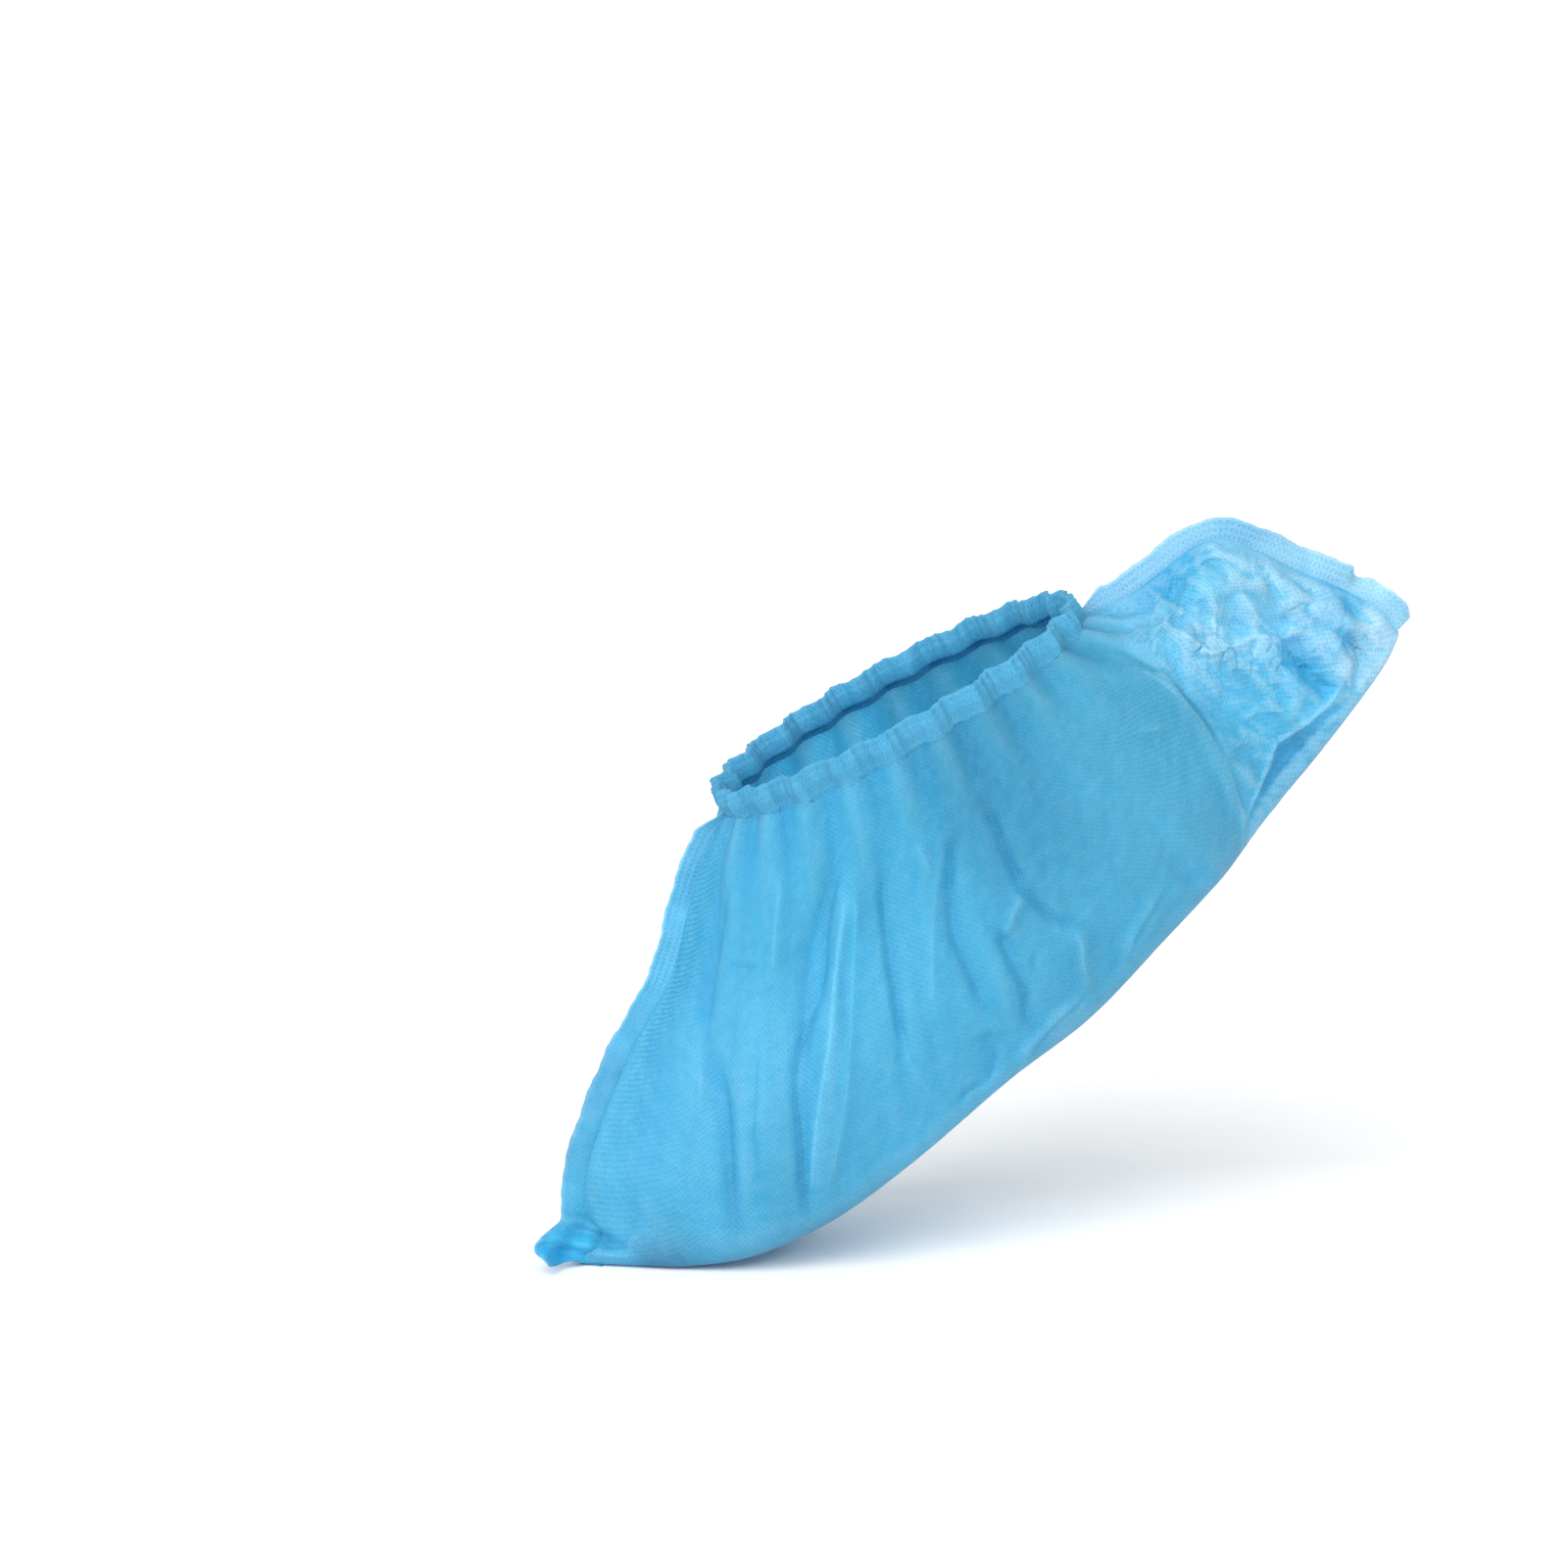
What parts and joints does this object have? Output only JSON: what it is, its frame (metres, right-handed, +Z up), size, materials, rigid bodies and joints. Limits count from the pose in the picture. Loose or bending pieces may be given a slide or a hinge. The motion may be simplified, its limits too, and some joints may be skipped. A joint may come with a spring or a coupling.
{
  "type": "medical shoe cover",
  "caption": "Disposable non-woven shoe cover worn on a lifted foot: a hollow bag with welded toe and heel and an elastic ankle opening.",
  "frame": {"origin": "inner face of the sole under the toes, where the foot presses the cover onto the ground", "axes": "+Z up, toe towards -X, lifted heel towards +X, the outer side of a left foot towards -Y"},
  "size_m": [0.3261, 0.0981, 0.2598],
  "materials": {
    "nonwoven": "thin translucent blue spunbond, point-bonded, soft sheen",
    "weld": "two layers pressed together by a knurled welding wheel",
    "elastic": "flat braided white elastic"
  },
  "bodies": {
    "root": {"cover_front": "nonwoven", "cover_middle": "nonwoven", "cover_back": "nonwoven", "toe_seam": "weld", "heel_seam": "weld", "ankle_hem": "nonwoven", "elastic_band": "elastic"}
  },
  "joints": []
}
